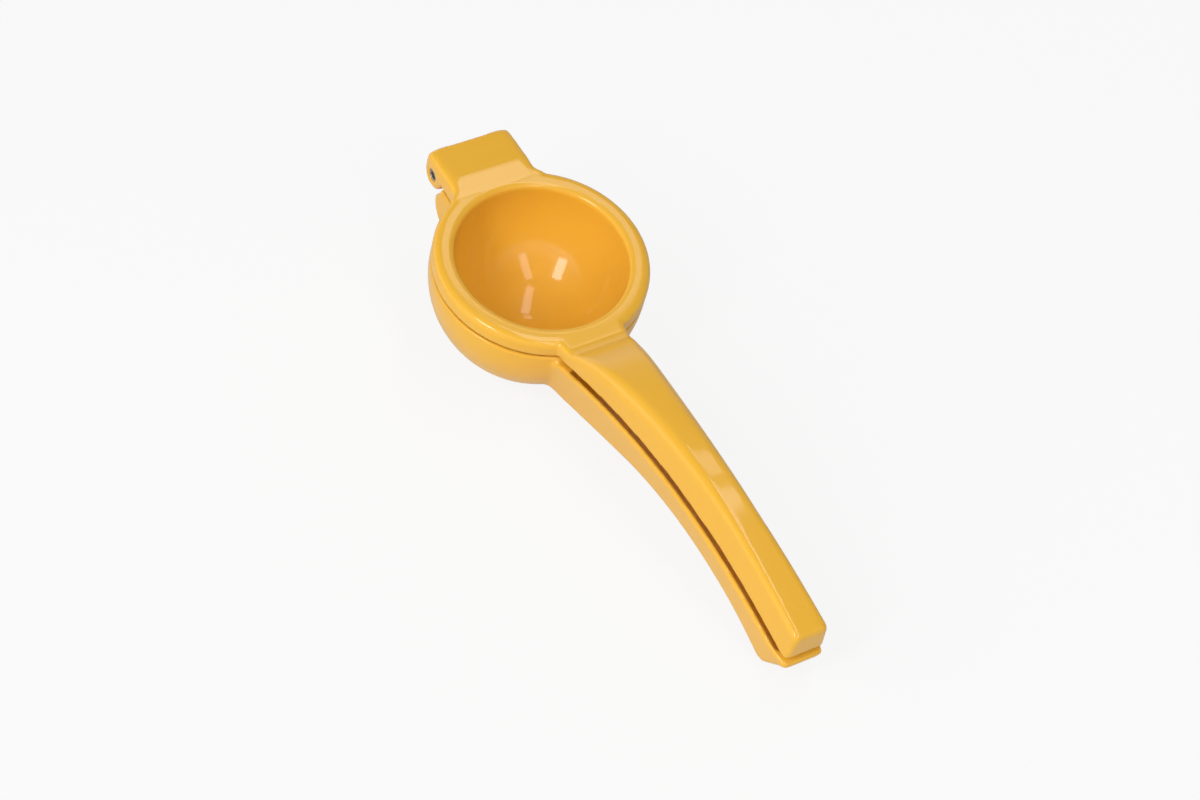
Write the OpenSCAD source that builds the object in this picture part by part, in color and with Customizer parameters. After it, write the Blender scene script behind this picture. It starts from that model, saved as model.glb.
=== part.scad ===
// Hinged lemon squeezer: two cast arms that fold about one steel pin.
// The press arm is a ring with a deep press cup, a hinge hood and a handle. The strainer arm
// is a drilled bowl with a hinge knuckle and a second handle. All lengths are millimetres.
//
// Each part is drawn in the cup frame: origin in the middle of the ring's top face, +X
// towards the handle ends, +Y along the pin and +Z up out of the cup. stand() then lays the
// closed tool on the counter, where it rests on the round of its bowl and on its handle end.

/* [Press ring and cup] */
// Outer diameter of the press ring and of the bowl under it
ring_d = 70; // [68:0.5:76]
// Thickness of the press ring
ring_h = 6.1; // [5:0.1:6.5]
// Rounding of the ring's outer top edge
ring_edge_r = 2.8; // [1:0.1:2.8]
// Rounding of the ring's lower edge and of the bowl's rim
seam_edge_r = 0.9; // [0.4:0.1:1.2]
// Gap between the press cup and the bowl round it
cup_gap = 2.1; // [1.6:0.1:3]
// Rounding of the mouth's edge
mouth_edge_r = 2.1; // [1:0.1:2.4]
// Depth of the cup below the ring's top face
press_depth = 32; // [30:0.5:36]
// Wall of the press cup
press_wall = 2.2; // [1.6:0.1:2.4]

/* [Strainer bowl] */
// Wall of the bowl
bowl_wall = 2.6; // [2:0.1:3]
// Height of the straight band between the bowl's rim and its round
band_h = 3.2; // [2:0.1:5]
// Gap of the seam between the ring and the bowl's rim
seam_gap = 0.4; // [0.3:0.1:0.8]
// Diameter of a drain hole
drain_d = 3.6; // [2.4:0.1:4]
// Distance from one ring of drain holes to the next
drain_pitch = 6.6; // [5.4:0.1:7]
// Number of rings of drain holes round the middle one
drain_rings = 2; // [1:1:3]

/* [Hinge] */
// Width of the hinge block along the pin
hinge_w = 28.2; // [25:0.2:30]
// Distance from the middle of the ring back to the pin
pin_reach = 46.5; // [45.5:0.1:49]
// Depth of the pin below the ring's top face
pin_drop = 7.2; // [7:0.1:7.8]
// Diameter of the hinge pin
pin_d = 4.2; // [3.4:0.1:4.4]
// Wall of the rolled steel that the pin is made of
pin_wall = 0.8; // [0.5:0.1:1.2]
// Width of the pin's spring slot
pin_slot = 0.7; // [0.4:0.1:1]
// Depth of each pin end below the face of its cheek
pin_inset = 0.5; // [0.2:0.1:1]
// Radius of the cheeks round the pin
cheek_r = 5.4; // [5:0.1:5.6]
// Width of the bowl's knuckle between the cheeks
knuckle_w = 13; // [10:0.2:15]
// Wall of the knuckle round its bore
knuckle_wall = 1.8; // [1.4:0.1:2]
// Radial play of the pin in the knuckle
pin_play = 0.05; // [0.02:0.01:0.1]
// Play between the knuckle and each cheek
side_play = 0.3; // [0.2:0.05:0.5]
// Gap round the knuckle inside the hood
hood_play = 0.4; // [0.3:0.05:0.5]
// Gap between the round of the cheeks and the bowl's lug
lug_play = 0.9; // [0.6:0.1:1.2]
// Radius of the lug's chin, which runs down into the bowl
chin_r = 9.2; // [8:0.2:11]
// Distance from the middle of the ring back to the fold of the hood
fold_reach = 36.9; // [36:0.1:39]
// Height of the fold above the ring's top face
fold_h = 0.9; // [0.5:0.1:1.2]
// Slope of the hood behind the fold
hood_slope = 5; // [4:0.5:7]
// Distance from the pin back to the rear of the hood
hood_past = 4.8; // [4.4:0.1:5]
// Rounding of the hood's rear top edge
hood_rear_r = 1.8; // [1:0.1:2.2]
// Rounding of the hood's long edges
hood_edge_r = 2.2; // [1:0.1:2.4]
// Concave radius where the hinge block runs into the ring
neck_fillet_r = 4.5; // [3:0.5:7]

/* [Handles] */
// Radius of the arch along which the closed handles part
arch_r = 266; // [240:1:320]
// Distance from the middle of the ring to the crest of the arch
crest_reach = 122; // [112:1:130]
// Height of that crest above the ring's top face
crest_h = 8.4; // [7.5:0.1:9]
// Gap between the closed handles
handle_gap = 1.2; // [0.6:0.1:2]
// Rounding of the press handle's edges along the gap
press_part_r = 0.8; // [0.5:0.1:1.2]
// Rounding of the strainer handle's edges along the gap
strainer_part_r = 1.6; // [0.5:0.1:2]

/* [Press handle] */
// Distance from the middle of the ring to the end of the press handle
handle_reach = 161.4; // [145:0.2:175]
// Distance from the middle of the ring to the highest point of the handle's back
back_reach = 115; // [108:1:122]
// Height of that point above the ring's top face
back_h = 21.2; // [20:0.1:22]
// Radius of the back's arch between that point and the shoulder
back_front_r = 205; // [190:5:240]
// Radius of the back's arch between that point and the end
back_rear_r = 290; // [260:5:360]
// Distance from the middle of the ring to the foot of the shoulder
shoulder_reach = 38.6; // [37:0.1:40]
// Slope at which the shoulder climbs off the ring
shoulder_slope = 41; // [34:1:46]
// Width of the handle where it leaves the ring
neck_w = 23; // [18:0.2:25]
// Width of the handle at the grip
grip_w = 14.6; // [13:0.2:17]
// Width of the handle at its end
end_w = 12.8; // [11:0.2:14]
// Width of the handle's back where it leaves the ring
back_neck_w = 22.6; // [18:0.2:24]
// Width of the handle's back at the grip
back_grip_w = 10.2; // [9:0.1:12]
// Width of the handle's back at its end
back_end_w = 9.9; // [9:0.1:12]
// Rounding of the back's long edges between the neck and the grip
neck_edge_r = 6.3; // [4:0.1:7]
// Rounding of the back's long edges at the end
end_edge_r = 1.8; // [1:0.1:2.5]

/* [Strainer handle] */
// Distance from the middle of the ring to the highest point of the underside
under_reach = 118; // [112:1:122]
// Depth of that point below the ring's top face
under_drop = 5.8; // [5:0.1:6.5]
// Radius of the underside's arch between that point and the bowl
under_r = 138; // [125:1:150]
// Slope of the straight run from the arch down to the bowl
under_slope = 20.5; // [19:0.5:21]
// Radius of the underside's arch between that point and the heel
heel_arch_r = 94; // [90:1:120]
// Distance from the heel to the end of the press handle above it
heel_run = 9.8; // [8:0.2:14]
// Length by which the tip runs on past the press handle
tip_past = 0.9; // [0.5:0.1:3]
// Height of the upright face at the tip
tip_face_h = 3.2; // [2:0.1:4]
// Width of the handle where it leaves the bowl
root_w = 17.4; // [15:0.2:19]
// Width of the handle at the grip
hold_w = 13.8; // [12:0.2:15]
// Width of the handle at its tip
tip_w = 12; // [10.5:0.1:13]
// Amount by which each side leans in from the gap down to the underside
under_lean = 0.8; // [0.3:0.1:1.5]
// Rounding of the underside's long edges
under_edge_r = 2; // [1:0.1:2.5]

/* [Hidden] */
enamel = [0.93, 0.67, 0.22];
steel = [0.72, 0.72, 0.74];

// Segments in a small rounding, a wide arc, and each kind of handle edge
edge_steps = 6;
dome_steps = 20;
fine_edge_steps = 3;
crown_steps = 6;
exact = 96;

// A cut runs this far past the face that it opens
past = 1;
// A face that would lie in another piece's plane is sunk by this much
sunk = 0.08;
// The neck's top runs into the ring this far below its top face
neck_dip = 0.4;

// Bowl, whose outside is flush with the ring's
bowl_r = ring_d / 2;
bowl_in_r = bowl_r - bowl_wall;
rim_z = -ring_h - seam_gap;
bowl_round_z = rim_z - band_h;
bowl_low_z = bowl_round_z - bowl_r;

// Press cup, which fits into the bowl
press_r = bowl_in_r - cup_gap;
mouth_r = press_r - press_wall;
press_round_z = mouth_r - press_depth;

// Hinge
pin_c = [-pin_reach, -pin_drop];
pin_l = hinge_w - 2 * pin_inset;
knuckle_r = pin_d / 2 + knuckle_wall;
slot_r = knuckle_r + hood_play;
slot_w = knuckle_w + 2 * side_play;
room_angle = 130;
lug_r = cheek_r + lug_play;

// Handles; each starts inside the wall that it grows out of
start_x = ring_d / 2 - 4;
root_x = bowl_r * 0.68;
tip_x = handle_reach + tip_past;

// ---- Plain geometry -------------------------------------------------------------------

function arc(c, r, a0, a1, n) =
    [for (i = [0 : n]) c + r * [cos(a0 + (a1 - a0) * i / n), sin(a0 + (a1 - a0) * i / n)]];

// Quarter round from the axis out to radius r about height z, with a small flat at the pole
pole_angle = 2.2;
function dome(z, r) = concat([[0, z - r * cos(pole_angle)]],
    arc([0, z], r, -90 + pole_angle, 0, dome_steps));
function backwards(a) = [for (i = [len(a) - 1 : -1 : 0]) a[i]];

function soft_max(a, b, k) = (a + b + sqrt((a - b) * (a - b) + k * k)) / 2;
function soft_min(a, b, k) = (a + b - sqrt((a - b) * (a - b) + k * k)) / 2;

// A prism along Y, w wide, of an outline given as [x, z] points
module across(w) {
    rotate([90, 0, 0]) linear_extrude(w, center = true) children();
}

// ---- Handles --------------------------------------------------------------------------

// Height of the parting arch above the ring's top face
function arch_z(x) = crest_h - arch_r + sqrt(arch_r * arch_r - pow(x - crest_reach, 2));

// Half the width of a handle that is wide at its root, slimmer at the grip and at its end
function half_w(x, root, grip, end) = x < crest_reach
    ? (grip + (root - grip) * pow(1 - max(0, x - start_x) / (crest_reach - start_x), 2)) / 2
    : (grip + (end - grip) * (x - crest_reach) / (handle_reach - crest_reach)) / 2;

// Back of the press handle: level with the ring, up the shoulder, then along its arch
function back_arch_z(x, r) = back_h - r + sqrt(r * r - pow(x - back_reach, 2));
function back_z(x) = soft_min(back_arch_z(x, x < back_reach ? back_front_r : back_rear_r),
    soft_max(-neck_dip, (x - shoulder_reach) * tan(shoulder_slope), 1), 3);
// The rounding of the back shrinks evenly from the grip to the end
round_reach = 85;
function back_edge_r(x) = end_edge_r
    + (neck_edge_r - end_edge_r) * min(1, max(0, handle_reach - x) / (handle_reach - round_reach));

// Underside of the strainer handle: straight run, arch, then the slope up to the tip
run_x = under_reach - under_r * sin(under_slope);
run_z = -under_drop - under_r * (1 - cos(under_slope));
function under_arch_z(x, r) = -under_drop - r + sqrt(r * r - pow(x - under_reach, 2));
function under_run_z(x) = x < run_x ? run_z - (run_x - x) * tan(under_slope)
    : under_arch_z(x, x < under_reach ? under_r : heel_arch_r);
heel_reach = handle_reach - heel_run;
heel_z = under_arch_z(heel_reach, heel_arch_r);
tip_low_z = arch_z(tip_x) - handle_gap - tip_face_h;
tip_slope = atan((tip_low_z - heel_z) / (tip_x - heel_reach));
function under_z(x) = soft_max(under_run_z(x), heel_z + (x - heel_reach) * tan(tip_slope), 2);

// How far a rounded end is drawn in at x, for an end face at x_end
function end_inset(x, x_end, r) = x < x_end - r ? 0 : r - sqrt(max(0, r * r - pow(x - x_end + r, 2)));

// One section at x: p is half the width at z0 and q at z1, with edges rounded by r0 and r1
function section(x, p, q, z0, z1, r0, r1) =
    let (s = sign(z1 - z0), h = abs(z1 - z0), t0 = min(r0, h / 3), t1 = min(r1, h / 2, q * 0.9),
         lean = atan((p - q) / h),
         right = concat(arc([p - t0, t0], t0, -90, 0, fine_edge_steps),
            arc([q - t1, h - t1], t1, lean, 90, crown_steps)),
         n = len(right))
    concat([for (v = right) [x, v.x, z0 + s * v.y]],
        [for (i = [n - 1 : -1 : 0]) [x, -right[i].x, z0 + s * right[i].y]]);

// Stations along a handle: close together at the neck and through the rounded end
neck_end_x = 60;
tip_run = 12;
function spread(x0, x1, n) = [for (i = [0 : n - 1]) x0 + (x1 - x0) * i / n];
function stations(x0, x1, r) = concat(
    spread(x0, neck_end_x, 14),
    spread(neck_end_x, x1 - r - tip_run, 14),
    spread(x1 - r - tip_run, x1 - r, 8),
    [for (i = [0 : 5]) x1 - r + r * sin(90 * i / 5)]);

press_sections = [for (x = stations(start_x, handle_reach, end_edge_r))
    let (e = end_inset(x, handle_reach, end_edge_r))
    section(x, half_w(x, neck_w, grip_w, end_w) - e * 0.6,
        half_w(x, back_neck_w, back_grip_w, back_end_w) - e * 0.6,
        max(arch_z(x), -ring_h + sunk) + e * 0.2, back_z(x) - e * 0.9,
        press_part_r, back_edge_r(x))];
strainer_sections = [for (x = stations(root_x, tip_x, strainer_part_r))
    let (e = end_inset(x, tip_x, strainer_part_r), w = half_w(x, root_w, hold_w, tip_w))
    section(x, w - e * 0.9, w - under_lean - e * 0.9,
        arch_z(x) - handle_gap - e * 0.4, under_z(x) + e * 0.2, strainer_part_r, under_edge_r)];

// A closed skin over a list of sections; flip turns it when its sections run the other way
module loft(sections, flip) {
    n = len(sections[0]);
    m = len(sections);
    skin = [for (j = [0 : m - 2]) for (i = [0 : n - 1])
        let (k = (i + 1) % n, a = j * n + i, b = j * n + k, c = a + n, d = b + n)
        each [[a, d, b], [a, c, d]]];
    caps = [[for (i = [0 : n - 1]) i], [for (i = [n - 1 : -1 : 0]) (m - 1) * n + i]];
    faces = concat(skin, caps);
    polyhedron([for (s = sections) each s],
        flip ? [for (f = faces) [for (i = [len(f) - 1 : -1 : 0]) f[i]]] : faces);
}

// ---- Resting place --------------------------------------------------------------------

// The counter touches the round of the bowl and the heel of the strainer handle. The tilt
// at which both are equally low is found by halving.
function drop(p, tilt) = p[2] * cos(tilt) - p.x * sin(tilt);
function heel_low(tilt) = min([for (s = strainer_sections) for (p = s) drop(p, tilt)]);
function bowl_low(tilt) = bowl_round_z * cos(tilt) - bowl_r;
function settle(a, b, n) = n == 0 ? (a + b) / 2
    : let (m = (a + b) / 2) heel_low(m) > bowl_low(m) ? settle(m, b, n - 1) : settle(a, m, n - 1);
rest_tilt = settle(5, 25, 26);

// The origin is under the middle of the closed tool
function along(p) = p[0] * cos(rest_tilt) + p[2] * sin(rest_tilt);
back_x = along([pin_c.x, 0, pin_c.y]) - cheek_r;
front_x = max([for (s = concat(press_sections, strainer_sections)) for (p = s) along(p)]);
middle_x = (back_x + front_x) / 2;

module stand() {
    translate([-middle_x, 0, -bowl_low(rest_tilt)]) rotate([0, rest_tilt, 0]) children();
}

// ---- Press arm ------------------------------------------------------------------------

// Ring and cup as one profile of [radius, height] points
module press_cup() {
    rotate_extrude($fn = exact) polygon(concat(
        dome(press_round_z, mouth_r),
        arc([mouth_r + mouth_edge_r, -mouth_edge_r], mouth_edge_r, 180, 90, edge_steps),
        arc([bowl_r - ring_edge_r, -ring_edge_r], ring_edge_r, 90, 0, edge_steps),
        arc([bowl_r - seam_edge_r, -ring_h + seam_edge_r], seam_edge_r, 0, -90, fine_edge_steps),
        [[press_r, -ring_h]],
        backwards(dome(press_round_z, press_r))));
}

// Side view of the hinge hood, as its upper and its lower line from the rear to the ring:
// round cheek, rear face, sloping top and the fold; cheek, cheek tip and underside
hood_rear = [-pin_reach - hood_past, fold_h - (pin_reach + hood_past - fold_reach) * tan(hood_slope)];
hood_rear_c = hood_rear + [hood_rear_r, hood_rear_r * (tan(hood_slope) - 1 / cos(hood_slope))];
rear_face_angle = 176;
cheek_tip_angle = 315;
cheek_flare = 0.5;
cheek_rear = [pin_c.x - cheek_r, pin_c.y];
hood_top = concat([cheek_rear, pin_c + cheek_r * [cos(rear_face_angle), sin(rear_face_angle)]],
    arc(hood_rear_c, hood_rear_r, rear_face_angle, 90 + hood_slope, edge_steps),
    [[-fold_reach, fold_h], [-start_x, -neck_dip], [0, -neck_dip]]);
cheek_root = [pin_c.x + cheek_r + cheek_flare, -ring_h + sunk];
hood_low = concat(arc(pin_c, cheek_r, 180, cheek_tip_angle, 2 * edge_steps),
    [cheek_root, [0, cheek_root.y]]);

// Plan view of the neck that flares from the hinge block into the ring; the flare's arc ends
// a little inside the ring
dip_r = bowl_r - 0.4;
fillet_c = [-sqrt(pow(dip_r + neck_fillet_r, 2) - pow(hinge_w / 2 + neck_fillet_r, 2)),
    hinge_w / 2 + neck_fillet_r];
flare_end_x = fillet_c.x * dip_r / (dip_r + neck_fillet_r);
function hood_half_w(x) = x < fillet_c.x ? hinge_w / 2
    : fillet_c.y - sqrt(pow(neck_fillet_r, 2) - pow(x - fillet_c.x, 2));

// Stations from the rear to the ring, at every corner of the side view and along the flare
hood_stations = concat(
    [for (v = hood_low) if (v.x > cheek_rear.x + 0.02 && v.x < fillet_c.x) v.x],
    [for (v = hood_top) if (v.x > cheek_rear.x + 0.02 && v.x < fillet_c.x) v.x],
    [for (i = [0 : edge_steps]) fillet_c.x + (flare_end_x - fillet_c.x) * sin(90 * i / edge_steps)]);
function sorted(a) = len(a) < 2 ? a : let (m = a[floor(len(a) / 2)])
    concat(sorted([for (v = a) if (v < m) v]), [m], sorted([for (v = a) if (v > m) v]));
hood_sections = [for (x = sorted(hood_stations))
    section(x, hood_half_w(x), hood_half_w(x), lookup(x, hood_low), lookup(x, hood_top),
        press_part_r, hood_edge_r)];

// Room inside the hood for the bowl's knuckle: open below, and behind so that it can swing
module knuckle_room() {
    far = 30;
    across(slot_w) {
        translate(pin_c) circle(slot_r, $fn = exact);
        polygon([pin_c, pin_c + far * [cos(room_angle), sin(room_angle)], pin_c + [-far, -far],
            [-start_x, pin_c.y - far], [-start_x, -ring_h], [pin_c.x, -ring_h]]);
    }
}

module pin_bore(d, l) {
    translate([pin_c.x, 0, pin_c.y]) rotate([90, 0, 0])
        cylinder(h = l, d = d, center = true, $fn = exact);
}

module press_arm() {
    color(enamel) stand() {
        difference() {
            union() {
                press_cup();
                loft(press_sections, false);
                difference() {
                    loft(hood_sections, false);
                    knuckle_room();
                }
            }
            pin_bore(pin_d, hinge_w + 2 * past);
        }
    }
}

// ---- Strainer arm ---------------------------------------------------------------------

module bowl_body() {
    rotate_extrude($fn = exact) polygon(concat(
        [[0, rim_z]],
        arc([bowl_r - seam_edge_r, rim_z - seam_edge_r], seam_edge_r, 90, 0, fine_edge_steps),
        backwards(dome(bowl_round_z, bowl_r))));
}

module bowl_room() {
    rotate_extrude($fn = exact) polygon(concat(
        [[0, rim_z + past], [bowl_in_r, rim_z + past]],
        backwards(dome(bowl_round_z, bowl_in_r))));
}

module drain_holes() {
    low = bowl_low_z - past;
    for (ring = [0 : drain_rings])
        for (i = [0 : max(1, 6 * ring) - 1])
            rotate([0, 0, i * 360 / max(1, 6 * ring)])
                translate([ring * drain_pitch, 0, low])
                    cylinder(h = bowl_r, d = drain_d, $fn = exact / 2);
}

// Side view of the lug that carries the knuckle: hollowed round the cheeks down to its corner,
// then a chin that runs into the bowl
lug_top_angle = -3;
lug_corner_angle = -52;
lug_corner = pin_c + lug_r * [cos(lug_corner_angle), sin(lug_corner_angle)];
chin_angles = [186, 240];
lug_outline = concat(
    [[-start_x, rim_z - sunk], [pin_c.x + lug_r + sunk, rim_z - sunk]],
    arc(pin_c, lug_r, lug_top_angle, lug_corner_angle, edge_steps),
    arc(lug_corner + [chin_r, 0], chin_r, chin_angles[0], chin_angles[1], edge_steps),
    [[bowl_wall - start_x, lug_corner.y - chin_r]]);

// Side view of the web between the lug and the knuckle; it starts inside the knuckle's round
// and ends inside the lug
web_start_r = 0.9 * knuckle_r;
web_back_angle = 215;
web_past = [4, 1];
web_outline = [
    pin_c + web_start_r * [cos(web_back_angle), sin(web_back_angle)],
    lug_corner + [0, -web_past.y], lug_corner + [web_past.x, -web_past.y],
    [lug_corner.x + web_past.x, pin_c.y - web_past.y / 2], pin_c + [web_start_r, 0]];

module knuckle() {
    across(knuckle_w) {
        translate(pin_c) circle(knuckle_r, $fn = exact);
        polygon(web_outline);
    }
}

module strainer_arm() {
    color(enamel) stand() {
        difference() {
            union() {
                bowl_body();
                loft(strainer_sections, true);
                across(hinge_w) polygon(lug_outline);
                knuckle();
            }
            bowl_room();
            drain_holes();
            pin_bore(pin_d + 2 * pin_play, knuckle_w + 2 * past);
        }
    }
}

// ---- Hinge pin ------------------------------------------------------------------------

module hinge_pin() {
    color(steel) stand() {
        translate([pin_c.x, 0, pin_c.y]) rotate([90, 0, 0]) difference() {
            cylinder(h = pin_l, d = pin_d, center = true, $fn = exact);
            cylinder(h = pin_l + 2 * past, d = pin_d - 2 * pin_wall, center = true, $fn = exact);
            translate([0, -pin_slot / 2, -pin_l / 2 - past]) cube([pin_d, pin_slot, pin_l + 2 * past]);
        }
    }
}

press_arm();
strainer_arm();
hinge_pin();
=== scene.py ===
import math

import bmesh
import bpy
from mathutils import Matrix, Vector


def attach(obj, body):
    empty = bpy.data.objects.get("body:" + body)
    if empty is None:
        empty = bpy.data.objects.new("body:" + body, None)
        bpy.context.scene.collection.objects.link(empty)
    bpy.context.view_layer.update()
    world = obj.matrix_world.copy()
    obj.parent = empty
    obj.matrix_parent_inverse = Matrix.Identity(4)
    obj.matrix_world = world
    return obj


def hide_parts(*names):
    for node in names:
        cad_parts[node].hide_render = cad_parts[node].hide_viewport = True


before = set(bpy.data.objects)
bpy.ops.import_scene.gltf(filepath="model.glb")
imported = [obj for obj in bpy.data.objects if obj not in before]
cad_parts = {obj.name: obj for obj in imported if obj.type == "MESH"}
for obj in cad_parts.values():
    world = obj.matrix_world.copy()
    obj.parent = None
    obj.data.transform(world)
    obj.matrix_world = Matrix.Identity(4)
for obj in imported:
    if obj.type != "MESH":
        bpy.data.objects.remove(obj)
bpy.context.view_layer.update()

# Castings are modelled in millimetres about the cup: the origin is the middle of the ring's
# top face, X runs to the handle ends and Y along the pin. set_down() then lays a finished
# piece on the counter, tilted as the closed tool rests. Names that end in _R are radii, in _W
# widths, in _H heights, and in _X and _Z places.
MM = 0.001
REST_TILT = math.radians(12.8608)
CUP_MIDDLE = Vector((-0.0542823, 0, 0.0444567))

# How far a body reaches into the one it is joined to, and a cutter out of what it cuts
JOIN = 0.1
OUT = 1

# Press ring and cup
RING_R = 35
RING_H = 6.1
RING_EDGE_R = 2.3
SEAM_EDGE_R = 0.5
MOUTH_R = 28.1
MOUTH_EDGE_R = 1.6
PRESS_DEPTH = 32
PRESS_WALL = 2.2

# Strainer bowl
BOWL_WALL = 2.6
BAND_H = 2.65
RIM_Z = -7.1
RIM_W = 1.4
BOWL_ROUND_Z = RIM_Z - BAND_H
DRAIN_R = 1.8
DRAIN_PITCH = 6.6

# Hinge
HINGE_W = 29.8
PIN_X = -46.5
PIN_Z = -7.2
PIN_R = 2.1
PIN_WALL = 0.8
PIN_INSET = 0.5
PIN_SLOT_W = 0.7
PIN_CHAMFER = 0.25
PIN_PLAY = 0.05
CHEEK_R = 5.4
KNUCKLE_W = 13
KNUCKLE_R = 3.9
KNUCKLE_PLAY = 0.4
KNUCKLE_END_PLAY = 0.3
LUG_PLAY = 0.9
LUG_H = 9.2
LUG_FRONT_X = -28.4
FOLD_X = -36.9
FOLD_Z = 0.9
HOOD_SLOPE = math.radians(5.3)
HOOD_REAR_X = -51.85
HOOD_REAR_R = 1.8
HOOD_REAR_TURN = 176  # direction that the rear face looks in, in degrees
FLARE_INSET = 0.4
NECK_FILLET_R = 4.5

# Handles. Three widths in a row are those at the root, at the grip and at the end.
PRESS_TOP_W = (24.6, 10.3, 11.8)
PRESS_LOW_W = (23.2, 14.6, 14)
STRAINER_LOW_W = (16.5, 12.9, 11.7)
ARCH_R = 266
CREST_X = 122
CREST_Z = 8.4
PART_GAP = 1.6
PART_DROOP = 0.9
PART_EDGE_R = 0.6
LEDGE_W = 1.2
LEDGE_EDGE_R = 1.4
CHANNEL_H = 3.2
CHANNEL_ROOT_X = 39
CHANNEL_END_X = 157
CHANNEL_EDGE_R = 1
END_X = 161.6
BACK_X = 115
BACK_Z = 19.6
BACK_FRONT_R = 208
BACK_REAR_R = 310
SHOULDER_X = 37.4
SHOULDER_SLOPE = math.radians(41)
SHOULDER_BEND = 0.25
BACK_BEND = 3
BACK_BEND_X = SHOULDER_X + 8
NECK_Z = -0.01
UNDER_X = 118
UNDER_Z = -5.8
UNDER_R = 138
UNDER_SLOPE = math.radians(20.5)
UNDER_EDGE_R = 2
HEEL_ARCH_R = 94
HEEL_X = 151.6
HEEL_BEND = 2
TIP_X = 162.3
TIP_FACE_H = 1.9
TIP_EDGE_R = 0.8
TAPER_X = 152
TAPER_W = 0.6
ROOT_X = 31
BOWL_ROOT_X = 23.8
ROOT_EDGE_R = 0.8
NECK_EDGE_R = 4.2
END_EDGE_R = 1.8
NECK_EDGE_X = SHOULDER_X + 13
GRIP_EDGE_X = 72
END_EDGE_X = 112

# Size of the faces in a casting's skin
GRAIN = 0.6


# ---- Working on a piece ---------------------------------------------------------------------


def only(piece):
    """The piece alone is selected, in object mode"""
    if bpy.context.object and bpy.context.object.mode != "OBJECT":
        bpy.ops.object.mode_set(mode="OBJECT")
    bpy.ops.object.select_all(action="DESELECT")
    piece.select_set(True)
    bpy.context.view_layer.objects.active = piece


def open_mesh(piece, kind="VERT"):
    """The piece is opened in edit mode with nothing selected"""
    only(piece)
    bpy.ops.object.mode_set(mode="EDIT")
    bpy.ops.mesh.select_mode(type=kind)
    bpy.ops.mesh.select_all(action="DESELECT")
    return bmesh.from_edit_mesh(piece.data)


def close_mesh():
    bpy.ops.object.mode_set(mode="OBJECT")


def finish(piece, kind, **settings):
    """Adds a modifier to the piece and applies it"""
    only(piece)
    modifier = piece.modifiers.new(kind.title(), kind)
    for name, value in settings.items():
        setattr(modifier, name, value)
    bpy.ops.object.modifier_apply(modifier=modifier.name)


def cut(piece, tool, operation="DIFFERENCE"):
    """Cuts the tool out of the piece, or joins it on, and throws the tool away"""
    finish(piece, "BOOLEAN", operation=operation, object=tool, solver="EXACT")
    bpy.data.objects.remove(tool)


def weld(piece, *parts):
    for part in parts:
        cut(piece, part, "UNION")


def new_piece(name):
    piece = bpy.context.object
    piece.name = piece.data.name = name
    return piece


def evenly(start, end, count):
    return [start + (end - start) * i / count for i in range(count + 1)]


def arc(x, z, radius, start, end, steps):
    """Points of an arc in the XZ plane, its angles in degrees"""
    turns = [math.radians(angle) for angle in evenly(start, end, steps)]
    return [(x + radius * math.cos(turn), z + radius * math.sin(turn)) for turn in turns]


def dome(z, radius, steps=40):
    """Lower half of a round profile about Z, from its pole to its widest place"""
    return [(0, z - radius)] + arc(0, z, radius, -89, 0, steps)


def turned(name, profile, steps=160):
    """A round body: one corner is drawn out along the profile and spun about Z"""
    bpy.ops.mesh.primitive_plane_add(size=1)
    piece = new_piece(name)
    open_mesh(piece)
    bpy.ops.mesh.select_all(action="SELECT")
    bpy.ops.mesh.merge(type="CENTER")
    bpy.ops.transform.translate(value=(profile[0][0], 0, profile[0][1]))
    for (x0, z0), (x1, z1) in zip(profile, profile[1:]):
        bpy.ops.mesh.extrude_region_move(TRANSFORM_OT_translate={"value": (x1 - x0, 0, z1 - z0)})
    bpy.ops.mesh.select_all(action="SELECT")
    bpy.ops.mesh.spin(steps=steps, angle=2 * math.pi, center=(0, 0, 0), axis=(0, 0, 1))
    bpy.ops.mesh.select_all(action="SELECT")
    bpy.ops.mesh.remove_doubles(threshold=0.001)
    bpy.ops.mesh.normals_make_consistent(inside=False)
    close_mesh()
    return piece


def plate(name, outline, width):
    """A plate drawn out along the pin from its side view"""
    bpy.ops.mesh.primitive_circle_add(vertices=len(outline), fill_type="NGON")
    piece = new_piece(name)
    mesh = open_mesh(piece)
    for corner, (x, z) in zip(mesh.verts, outline):
        corner.co = (x, -width / 2, z)
    bpy.ops.mesh.select_all(action="SELECT")
    bpy.ops.mesh.extrude_region_move(TRANSFORM_OT_translate={"value": (0, width, 0)})
    bpy.ops.mesh.select_all(action="SELECT")
    bpy.ops.mesh.normals_make_consistent(inside=False)
    close_mesh()
    return piece


def rod(name, x, z, radius, width, steps=96):
    """A round rod along the pin"""
    bpy.ops.mesh.primitive_cylinder_add(vertices=steps, radius=radius, depth=width)
    piece = new_piece(name)
    open_mesh(piece)
    bpy.ops.mesh.select_all(action="SELECT")
    bpy.ops.transform.rotate(value=math.pi / 2, orient_axis="X", center_override=(0, 0, 0))
    bpy.ops.transform.translate(value=(x, 0, z))
    close_mesh()
    return piece


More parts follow.
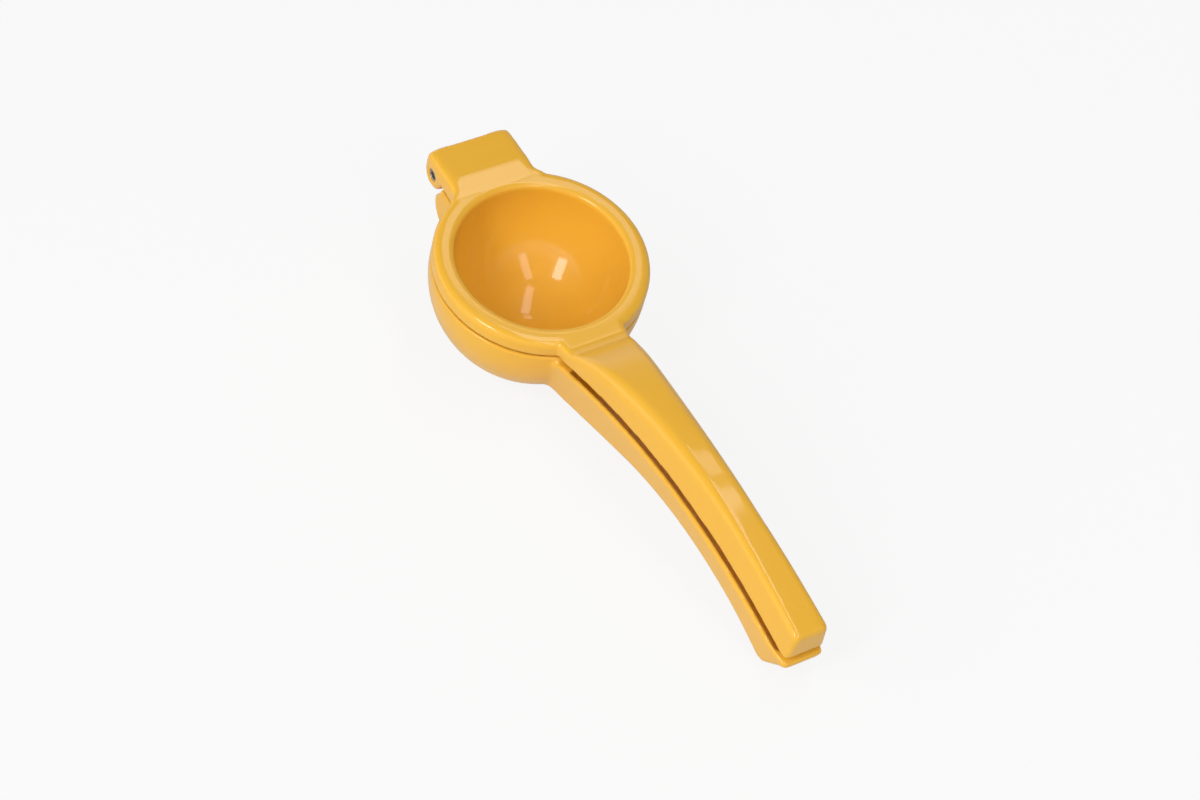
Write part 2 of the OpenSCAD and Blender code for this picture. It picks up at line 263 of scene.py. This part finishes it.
def bar(name, stations, shape, end_r):
    """A bar along X with a station at every x. shape(x) gives the heights of its lower and upper
    side, half its width along each, and how far the long edges of each are rounded. end_r rounds
    the edges of its last face."""
    bpy.ops.mesh.primitive_cube_add(size=1)
    piece = new_piece(name)
    mesh = open_mesh(piece, "EDGE")
    for edge in mesh.edges:
        edge.select_set(abs(edge.verts[0].co.x - edge.verts[1].co.x) > 0.5)
    bpy.ops.mesh.subdivide(number_cuts=len(stations) - 2)
    mesh = bmesh.from_edit_mesh(piece.data)
    rounding = mesh.edges.layers.float.new("bevel_weight_edge")
    widest = max(max(shape(x)[4:]) for x in stations)
    for corner in mesh.verts:
        at = round((corner.co.x + 0.5) * (len(stations) - 1))
        low, high, half_low, half_high = shape(stations[at])[:4]
        upper = corner.co.z > 0
        half = math.copysign(half_high if upper else half_low, corner.co.y)
        corner.co = (stations[at], half, high if upper else low)
    for edge in mesh.edges:
        a, b = (corner.co for corner in edge.verts)
        middle = (a + b) / 2
        low, high, half_low, half_high, low_r, high_r = shape(middle.x)
        if abs(a.x - b.x) > 1e-4 and abs(middle.y) > 0.1:
            radius = high_r if middle.z > (low + high) / 2 else low_r
            most = 0.45 * (high - low)  # leaves a flat between the rounds of a thin stretch
            edge[rounding] = min(radius, most) / widest
        elif end_r and min(a.x, b.x) > stations[-1] - 1e-4:
            edge[rounding] = end_r / widest
    bmesh.update_edit_mesh(piece.data)
    close_mesh()
    finish(piece, "BEVEL", limit_method="WEIGHT", width=widest, segments=8,
           use_clamp_overlap=False)
    return piece


def cast(piece, passes):
    """Gives the joined bodies one skin with softened edges, as a cast and coated part has"""
    finish(piece, "REMESH", mode="VOXEL", voxel_size=GRAIN, use_smooth_shade=True)
    finish(piece, "SMOOTH", factor=0.5, iterations=passes)


def ease(piece, amount, passes):
    """Eases part of the casting's skin, which rounds its corners off and its joints out.
    amount(place) is 1 where it is fully eased and 0 where it stays."""
    eased = piece.vertex_groups.new(name="eased")
    for corner in piece.data.vertices:
        share = amount(corner.co)
        if share > 0:
            eased.add([corner.index], share, "REPLACE")
    finish(piece, "SMOOTH", factor=0.5, iterations=passes, vertex_group="eased")
    piece.vertex_groups.clear()


def set_down(piece):
    """Takes a finished piece from millimetres about the cup to its place on the counter"""
    only(piece)
    piece.scale = (MM, MM, MM)
    piece.rotation_euler = (0, REST_TILT, 0)
    piece.location = CUP_MIDDLE
    bpy.ops.object.transform_apply(location=True, rotation=True, scale=True)
    return piece


# ---- Shapes of the handles ------------------------------------------------------------------


def fade(value, start, end):
    """0 at the start and 1 at the end, and level at both"""
    part = min(1, max(0, (value - start) / (end - start)))
    return part * part * (3 - 2 * part)


def soft_max(a, b, spread):
    """The larger value, with a bend where the two cross that widens with the spread"""
    return (a + b + math.hypot(a - b, spread)) / 2


def soft_min(a, b, spread):
    return (a + b - math.hypot(a - b, spread)) / 2


def arch(x, top_x, top_z, radius):
    """Height of a round back that has its top at top_x"""
    return top_z - radius + math.sqrt(radius**2 - (x - top_x) ** 2)


def half_width(x, root, grip, end):
    """Half of a width that narrows fast from the root, then less and less up to the grip, and
    changes evenly from there to the end"""
    if x < CREST_X:
        return (grip + (root - grip) * (1 - max(0, x - ROOT_X) / (CREST_X - ROOT_X)) ** 2) / 2
    return (grip + (end - grip) * (x - CREST_X) / (END_X - CREST_X)) / 2


def back_height(x):
    """Top of the press handle: level over the neck, then up the shoulder to the arched back"""
    back = arch(x, BACK_X, BACK_Z, BACK_FRONT_R if x < BACK_X else BACK_REAR_R)
    climb = (x - SHOULDER_X) * math.tan(SHOULDER_SLOPE)
    shoulder = soft_max(NECK_Z, climb, SHOULDER_BEND)
    return soft_min(back, shoulder, BACK_BEND * fade(x, SHOULDER_X, BACK_BEND_X))


def parting(x):
    """Underside of the press handle, which the strainer handle follows"""
    return arch(x, CREST_X, CREST_Z, ARCH_R) - PART_DROOP * fade(x, CREST_X, END_X)


def press_half_low(x):
    return half_width(x, *PRESS_LOW_W)


def press_handle_shape(x):
    """Upper handle, its crown sharp at the shoulder, round past it and sharper at the end"""
    low = max(parting(x), JOIN - RING_H)
    high = back_height(x)
    before_end = min(1, max(0, END_EDGE_X - x) / (END_EDGE_X - GRIP_EDGE_X))
    crown_r = END_EDGE_R + (NECK_EDGE_R - END_EDGE_R) * before_end
    crown_r = ROOT_EDGE_R + (crown_r - ROOT_EDGE_R) * fade(x, SHOULDER_X, NECK_EDGE_X)
    crown_r = min(crown_r, (high - low) / 2)
    return low, high, press_half_low(x), half_width(x, *PRESS_TOP_W), PART_EDGE_R, crown_r


def under_height(x):
    """Underside of the strainer handle: a straight run, the hollow for the fingers and the heel
    that the tool rests on, then up to the tip"""
    run_x = UNDER_X - UNDER_R * math.sin(UNDER_SLOPE)
    if x < run_x:
        run_z = UNDER_Z - UNDER_R * (1 - math.cos(UNDER_SLOPE))
        run = run_z - (run_x - x) * math.tan(UNDER_SLOPE)
    else:
        run = arch(x, UNDER_X, UNDER_Z, UNDER_R if x < UNDER_X else HEEL_ARCH_R)
    heel_z = arch(HEEL_X, UNDER_X, UNDER_Z, HEEL_ARCH_R)
    tip_z = parting(TIP_X) - PART_GAP - TIP_FACE_H
    climb = heel_z + (x - HEEL_X) * (tip_z - heel_z) / (TIP_X - HEEL_X)
    return soft_max(run, climb, HEEL_BEND)


def strainer_handle_shape(x):
    """Lower handle, its top a ledge wider than the upper handle on either side"""
    half_high = press_half_low(x) + LEDGE_W - TAPER_W * fade(x, TAPER_X, TIP_X)
    half_low = half_width(x, *STRAINER_LOW_W)
    high = parting(x) - PART_GAP
    return under_height(x), high, half_low, half_high, UNDER_EDGE_R, LEDGE_EDGE_R


def channel_shape(x):
    """Cutter for the channel along the top of the strainer handle. It stands out of the handle,
    and its sides slope at half a right angle up to the width of the press handle."""
    high = parting(x) - PART_GAP
    half = press_half_low(x)
    return high - CHANNEL_H, high + OUT, half - CHANNEL_H, half + OUT, CHANNEL_EDGE_R, 0


# ---- Hinge hood -----------------------------------------------------------------------------

# The sides of the hood flare out where the milling cutter's radius meets a circle just inside
# the ring. The hood ends a hair under the ring's top, so that no two faces lie in one plane.
REAR_Z = FOLD_Z - (FOLD_X - HOOD_REAR_X) * math.tan(HOOD_SLOPE)
REAR_C = (HOOD_REAR_X + HOOD_REAR_R,
          REAR_Z + HOOD_REAR_R * (math.tan(HOOD_SLOPE) - 1 / math.cos(HOOD_SLOPE)))
FLARE_R = RING_R - FLARE_INSET
FLARE_X = -math.sqrt((FLARE_R + NECK_FILLET_R) ** 2 - (HINGE_W / 2 + NECK_FILLET_R) ** 2)
FLARE_END_X = FLARE_X * FLARE_R / (FLARE_R + NECK_FILLET_R)
HOOD_FRONT_Z = -0.005
HOOD_OUTLINE = (arc(PIN_X, PIN_Z, CHEEK_R, HOOD_REAR_TURN, 315, 24)
                + [(PIN_X + CHEEK_R + 0.5, JOIN - RING_H), (FLARE_END_X, JOIN - RING_H),
                   (FLARE_END_X, HOOD_FRONT_Z), (FOLD_X, FOLD_Z)]
                + arc(*REAR_C, HOOD_REAR_R, 95, HOOD_REAR_TURN, 10))


def side_cutter(side):
    """Block that is milled away beside the hood, from the flare back"""
    front_x = FLARE_X + NECK_FILLET_R
    length, width, height = front_x + 70, 20, 40
    bpy.ops.mesh.primitive_cube_add(size=1, scale=(length, width, height), location=(
        front_x - length / 2, side * (HINGE_W + width) / 2, 0))
    cutter = new_piece("side_cutter")
    bpy.ops.object.transform_apply(location=True, rotation=True, scale=True)
    mesh = open_mesh(cutter, "EDGE")
    for edge in mesh.edges:
        at_neck = [end.co.x > FLARE_X and abs(end.co.y) < HINGE_W for end in edge.verts]
        edge.select_set(all(at_neck))
    bpy.ops.mesh.bevel(offset=NECK_FILLET_R, segments=12, affect="EDGES")
    close_mesh()
    return cutter


def hinge_hood():
    """Block that is round over the pin and slopes up to the fold. Its sides are milled back as
    far as the ring, with the cutter's radius left in the corner. It is hollow for the knuckle,
    and for the knuckle's web to swing in, open below and behind."""
    blank_w = 50
    hood = plate("hinge_hood", HOOD_OUTLINE, blank_w)
    for side in (-1, 1):
        cut(hood, side_cutter(side))
    room_w = KNUCKLE_W + 2 * KNUCKLE_END_PLAY
    cut(hood, rod("knuckle_room", PIN_X, PIN_Z, KNUCKLE_R + KNUCKLE_PLAY, room_w))
    swing = [(PIN_X, PIN_Z), (PIN_X - 19.3, PIN_Z + 23), (PIN_X - 30, PIN_Z - 30),
             (-ROOT_X, PIN_Z - 30), (-ROOT_X, -RING_H), (PIN_X, -RING_H)]
    cut(hood, plate("swing_room", swing, room_w))
    return hood


# ---- Castings -------------------------------------------------------------------------------


def on_hood_sides(at):
    """Full on the sides of the hood and on its long edges, and nothing on the ring, over the
    knuckle, along the seam and round the pin"""
    clear_of_seam = max(fade(at.z, -5.5, -3.5), fade(-at.x, 40, 42))
    clear_of_pin = fade(math.hypot(at.x - PIN_X, at.z - PIN_Z), 2.8, 3.8)
    return fade(-at.x, 31, 35) * fade(abs(at.y), 10.5, 13) * clear_of_seam * clear_of_pin


def press_casting():
    """Ring and press cup, with the hinge hood behind and the handle in front"""
    round_z = MOUTH_R - PRESS_DEPTH
    ring = turned("press_casting",
                  dome(round_z, MOUTH_R)
                  + arc(MOUTH_R + MOUTH_EDGE_R, -MOUTH_EDGE_R, MOUTH_EDGE_R, 180, 90, 10)
                  + arc(RING_R - RING_EDGE_R, -RING_EDGE_R, RING_EDGE_R, 90, 0, 10)
                  + arc(RING_R - SEAM_EDGE_R, SEAM_EDGE_R - RING_H, SEAM_EDGE_R, 0, -90, 5)
                  + [(MOUTH_R + PRESS_WALL, -RING_H)]
                  + dome(round_z, MOUTH_R + PRESS_WALL)[::-1])
    handle = bar("press_handle", evenly(ROOT_X, END_X, 52), press_handle_shape, END_EDGE_R)
    weld(ring, handle, hinge_hood())
    cut(ring, rod("pin_bore", PIN_X, PIN_Z, PIN_R, HINGE_W + 2 * OUT))
    cast(ring, 4)
    ease(ring, on_hood_sides, 45)
    return set_down(ring)


def drain_drills():
    """One drill in the middle, with rings of six and of twelve round it, as one tool. They reach
    through the bowl, their middles a little above its lowest point."""
    middle_z = BOWL_ROUND_Z - RING_R + 2
    drills = []
    for ring in range(3):
        count = max(1, 6 * ring)
        reach = ring * DRAIN_PITCH
        for i in range(count):
            turn = 2 * math.pi * i / count
            bpy.ops.mesh.primitive_cylinder_add(vertices=32, radius=DRAIN_R, depth=16, location=(
                reach * math.cos(turn), reach * math.sin(turn), middle_z))
            drills.append(new_piece("drain_drill"))
    for drill in drills:
        drill.select_set(True)
    bpy.ops.object.join()
    bpy.ops.object.transform_apply(location=True, rotation=True, scale=True)
    return bpy.context.object


def strainer_handle():
    """Lower handle, from its root in the bowl's wall, with the channel along its top"""
    handle = bar("strainer_handle", evenly(BOWL_ROOT_X, TIP_X, 56), strainer_handle_shape,
                 TIP_EDGE_R)
    stations = evenly(CHANNEL_ROOT_X, CHANNEL_END_X, 48)
    cut(handle, bar("channel", stations, channel_shape, 0))
    return handle


def hinge_lug():
    """Lug behind the bowl, hollow so that the hood's cheeks turn in it, then the web that stands
    on it and the knuckle that the web carries"""
    hollow_r = CHEEK_R + LUG_PLAY
    hollow = arc(PIN_X, PIN_Z, hollow_r, -3, -52, 8)
    corner_x, corner_z = hollow[-1]
    lug = plate("hinge_lug",
                [(-ROOT_X, RIM_Z - JOIN), (PIN_X + hollow_r + JOIN, RIM_Z - JOIN)] + hollow
                + arc(corner_x + LUG_H, corner_z, LUG_H, 186, 240, 8)
                + [(LUG_FRONT_X, corner_z - LUG_H)],
                HINGE_W)
    start_r = 0.9 * KNUCKLE_R
    web = plate("knuckle_web",
                arc(PIN_X, PIN_Z, start_r, 215, 215, 1)[:1]
                + [(corner_x, corner_z - 1), (corner_x + 4, corner_z - 1),
                   (corner_x + 4, PIN_Z - 0.5), (PIN_X + start_r, PIN_Z)],
                KNUCKLE_W)
    return lug, web, rod("knuckle", PIN_X, PIN_Z, KNUCKLE_R, KNUCKLE_W)


def on_handle_root(at):
    """Full round the handle's root on the outside of the bowl, and nothing at the rim, inside
    the bowl and further out along the handle"""
    reach = (at - Vector((0, 0, BOWL_ROUND_Z))).length
    return (fade(at.x, 22, 27) * fade(-at.z, 8.5, 10.5)
            * fade(reach, 33.8, 34.6) * fade(reach, 42, 37))


def strainer_casting():
    """Drilled bowl with the hinge knuckle behind and the second handle in front. Inside, its rim
    slopes down to the wall."""
    inner_r = RING_R - BOWL_WALL
    bowl = turned("strainer_casting",
                  [(0, RIM_Z)]
                  + arc(RING_R - SEAM_EDGE_R, RIM_Z - SEAM_EDGE_R, SEAM_EDGE_R, 90, 0, 5)
                  + dome(BOWL_ROUND_Z, RING_R)[::-1])
    weld(bowl, strainer_handle(), *hinge_lug())
    mouth = [(0, RIM_Z + OUT), (RING_R - 0.2, RIM_Z + OUT), (RING_R - RIM_W, RIM_Z)]
    cut(bowl, turned("bowl_room", mouth + dome(BOWL_ROUND_Z, inner_r)[::-1]))
    cut(bowl, drain_drills())
    cut(bowl, rod("pin_bore", PIN_X, PIN_Z, PIN_R + PIN_PLAY, KNUCKLE_W + 2 * OUT))
    cast(bowl, 5)
    ease(bowl, on_handle_root, 40)
    return set_down(bowl)


def spring_pin():
    """Pin rolled from sheet steel, open along one side, its ends chamfered"""
    half = HINGE_W / 2 - PIN_INSET
    bpy.ops.mesh.primitive_plane_add(size=1)
    pin = new_piece("spring_pin")
    mesh = open_mesh(pin)
    for corner in mesh.verts:
        outer = corner.co.x > 0
        corner.co = (PIN_R if outer else PIN_R - PIN_WALL, math.copysign(half, corner.co.y), 0)
    bpy.ops.mesh.select_all(action="SELECT")
    bpy.ops.mesh.bevel(offset=PIN_CHAMFER, segments=3, affect="VERTICES")
    bpy.ops.mesh.select_all(action="SELECT")
    slot = math.asin(PIN_SLOT_W / 2 / (PIN_R - PIN_WALL))
    bpy.ops.transform.rotate(value=slot, orient_axis="Y", center_override=(0, 0, 0))
    bpy.ops.mesh.spin(steps=72, angle=2 * math.pi - 2 * slot, center=(0, 0, 0), axis=(0, 1, 0))
    bpy.ops.mesh.select_all(action="SELECT")
    bpy.ops.mesh.remove_doubles(threshold=0.0005)
    bpy.ops.mesh.normals_make_consistent(inside=False)
    bpy.ops.transform.translate(value=(PIN_X, 0, PIN_Z))
    close_mesh()
    only(pin)
    bpy.ops.object.shade_smooth_by_angle(angle=math.radians(35))
    return set_down(pin)


# ---- Materials ------------------------------------------------------------------------------


class Flow:
    """A socket of a material; arithmetic on it adds the Math nodes that work it out"""

    def __init__(self, tree, socket):
        self.tree, self.socket = tree, socket

    def node(self, kind, settings=None, output=0, **inputs):
        """Adds a node, with its settings first and then the values or links of its sockets, each
        called by its name, or by its number as s0, s1 and so on"""
        made = self.tree.nodes.new("ShaderNode" + kind)
        for name, value in (settings or {}).items():
            setattr(made, name, value)
        for name, value in inputs.items():
            numbered = name[1:].isdigit()
            socket = made.inputs[int(name[1:]) if numbered else name.replace("_", " ")]
            if isinstance(value, Flow):
                self.tree.links.new(value.socket, socket)
            else:
                socket.default_value = value
        return Flow(self.tree, made.outputs[output])

    def sum_of(self, operation, a, b):
        return self.node("Math", {"operation": operation}, s0=a, s1=b)

    def __add__(self, other):
        return self.sum_of("ADD", self, other)

    def __mul__(self, other):
        return self.sum_of("MULTIPLY", self, other)

    __radd__ = __add__
    __rmul__ = __mul__


def finish_of(name, **constants):
    """A material with its shader's constant values, and the Flow of its place on the piece"""
    material = bpy.data.materials.new(name)
    material.use_nodes = True
    tree = material.node_tree
    shader = tree.nodes["Principled BSDF"]
    for socket, value in constants.items():
        shader.inputs[socket.replace("_", " ")].default_value = value
    place = tree.nodes.new("ShaderNodeTexCoord")
    return material, shader, Flow(tree, place.outputs["Object"])


def blend(share, first, second):
    """A colour between two others, as far along as the share says"""
    return share.node("Mix", {"data_type": "RGBA"}, 2, s0=share, s6=(*first, 1), s7=(*second, 1))


def enamel():
    """Thick gloss powder enamel: a soft orange peel under a clear skin"""
    material, shader, place = finish_of("yellow_enamel", Coat_Weight=0.6, Coat_Roughness=0.08,
                                        Coat_IOR=1.5, Specular_IOR_Level=0.15)
    link = shader.id_data.links.new
    cloud = place.node("TexNoise", Vector=place, Scale=38.0, Detail=2.0, Roughness=0.5)
    peel = place.node("TexNoise", Vector=place, Scale=620.0, Detail=2.0, Roughness=0.45)
    grain = place.node("TexNoise", Vector=place, Scale=2600.0, Detail=1.0, Roughness=0.5)
    colour = blend(cloud, (0.86, 0.455, 0.038), (0.90, 0.485, 0.047))
    link(colour.socket, shader.inputs["Base Color"])
    link((0.32 + 0.10 * cloud + 0.04 * grain).socket, shader.inputs["Roughness"])
    bump = place.node("Bump", Strength=0.35, Distance=0.00006, Height=peel + 0.12 * grain)
    link(bump.socket, shader.inputs["Normal"])
    return material


def pin_steel():
    """Rolled spring steel, a little dull, with fine lines along the strip"""
    material, shader, place = finish_of("spring_steel", Metallic=1.0)
    link = shader.id_data.links.new
    stretched = place.node("Mapping", Vector=place, Scale=(900.0, 90.0, 900.0))
    lines = place.node("TexNoise", Vector=stretched, Scale=6.0, Detail=3.0, Roughness=0.6)
    stain = place.node("TexNoise", Vector=place, Scale=900.0, Detail=2.0, Roughness=0.6)
    colour = blend(stain, (0.24, 0.23, 0.22), (0.55, 0.54, 0.53))
    link(colour.socket, shader.inputs["Base Color"])
    link((0.28 + 0.22 * lines).socket, shader.inputs["Roughness"])
    bump = place.node("Bump", Strength=0.3, Distance=0.00003, Height=lines)
    link(bump.socket, shader.inputs["Normal"])
    return material


def floor_paper():
    """White paper that catches the shadows, and glows by itself where the camera sees it"""
    material, shader, place = finish_of("floor_paper", Roughness=0.9, Specular_IOR_Level=0.1)
    tree = material.node_tree
    grain = place.node("TexNoise", Vector=place, Scale=900.0, Detail=2.0)
    tone = blend(grain, (0.70, 0.70, 0.70), (0.74, 0.74, 0.74))
    tree.links.new(tone.socket, shader.inputs["Base Color"])
    camera_ray = place.node("LightPath", output=0)
    glossy_ray = place.node("LightPath", output=3)
    seen = camera_ray + 0.15 * glossy_ray
    glow = place.node("Emission", Strength=1.0)
    mix = tree.nodes.new("ShaderNodeMixShader")
    tree.links.new((0.86 * seen).socket, mix.inputs[0])
    tree.links.new(shader.outputs[0], mix.inputs[1])
    tree.links.new(glow.socket, mix.inputs[2])
    tree.links.new(mix.outputs[0], tree.nodes["Material Output"].inputs["Surface"])
    return material


def wear(piece, material):
    piece.data.materials.clear()
    piece.data.materials.append(material)


# ---- Studio ---------------------------------------------------------------------------------


def camera():
    view = bpy.data.cameras.new("camera")
    view.lens = 99
    view.sensor_width = 36
    view.clip_start = 0.01
    view.clip_end = 20
    holder = bpy.data.objects.new("camera", view)
    holder.location = (0.6163636, -0.424273, 0.722706)
    holder.rotation_euler = [math.radians(turn) for turn in (46.948060, -3.769501, 59.601283)]
    bpy.context.scene.collection.objects.link(holder)
    bpy.context.scene.camera = holder


def direction(azimuth, elevation):
    turn, rise = math.radians(azimuth), math.radians(elevation)
    level = math.cos(rise)
    return Vector((level * math.cos(turn), level * math.sin(turn), math.sin(rise)))


def softbox(name, start, end, width, brightness):
    """A strip lamp that faces the cup and reaches from one direction to the other as the cup
    sees it; its brightness is what a white card would show lying flat against it"""
    distance = 1.6
    one, other = direction(*start), direction(*end)
    out = (one + other).normalized()
    length = 2 * distance * math.tan(one.angle(other) / 2)
    across = out.cross(other - one).normalized()
    lamp = bpy.data.lights.new(name, "AREA")
    lamp.shape = "RECTANGLE"
    lamp.size, lamp.size_y = width, length
    lamp.energy = brightness * math.pi * width * length
    holder = bpy.data.objects.new(name, lamp)
    holder.location = CUP_MIDDLE + out * distance
    holder.rotation_euler = Matrix((across, out.cross(across), out)).transposed().to_euler()
    bpy.context.scene.collection.objects.link(holder)


def light_walls():
    """Walls round the counter that are dim at its level, bright just above it and dark overhead,
    and brighter on the window's side"""
    world = bpy.data.worlds.new("studio")
    bpy.context.scene.world = world
    world.use_nodes = True
    tree = world.node_tree
    sky = Flow(tree, tree.nodes.new("ShaderNodeTexCoord").outputs["Generated"])
    height = sky.node("SeparateXYZ", output=2, s0=sky)
    smooth = {"interpolation_type": "SMOOTHSTEP"}
    rise = sky.node("MapRange", smooth, s0=height, s1=0.0, s2=0.3, s3=0.45, s4=1.4)
    fall = sky.node("MapRange", smooth, s0=height, s1=0.3, s2=0.7, s3=1.0, s4=0.08)
    wall = rise * fall
    toward_window = (-0.34, -0.94, 0.0)
    window = sky.node("VectorMath", {"operation": "DOT_PRODUCT"}, 1, s0=sky, s1=toward_window)
    background = tree.nodes["Background"]
    background.inputs["Color"].default_value = (1, 1, 1, 1)
    tree.links.new((wall * (0.85 + 0.5 * window)).socket, background.inputs["Strength"])


def studio():
    softbox("key_box", (-65, 27), (-71, 55), 0.36, 11)
    softbox("side_box", (-3, 25.6), (-5.4, 60), 0.3, 4.6)
    softbox("top_box", (0.4, 69.3), (119, 62), 0.27, 4.7)
    softbox("back_box", (126.5, 61.5), (131, 56.5), 0.24, 3.4)
    light_walls()
    bpy.ops.mesh.primitive_plane_add(size=6)
    floor = new_piece("floor")
    wear(floor, floor_paper())


# ---- The tool -------------------------------------------------------------------------------

bpy.ops.object.select_all(action="DESELECT")
camera()
studio()

yellow = enamel()
for piece, body, node in ((press_casting(), "press_arm", "press_arm"),
                          (strainer_casting(), "strainer_arm", "strainer_arm")):
    wear(piece, yellow)
    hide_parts(node)
    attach(piece, body)
pin = spring_pin()
wear(pin, pin_steel())
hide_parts("hinge_pin")
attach(pin, "press_arm")

bpy.context.scene.view_settings.view_transform = "Standard"
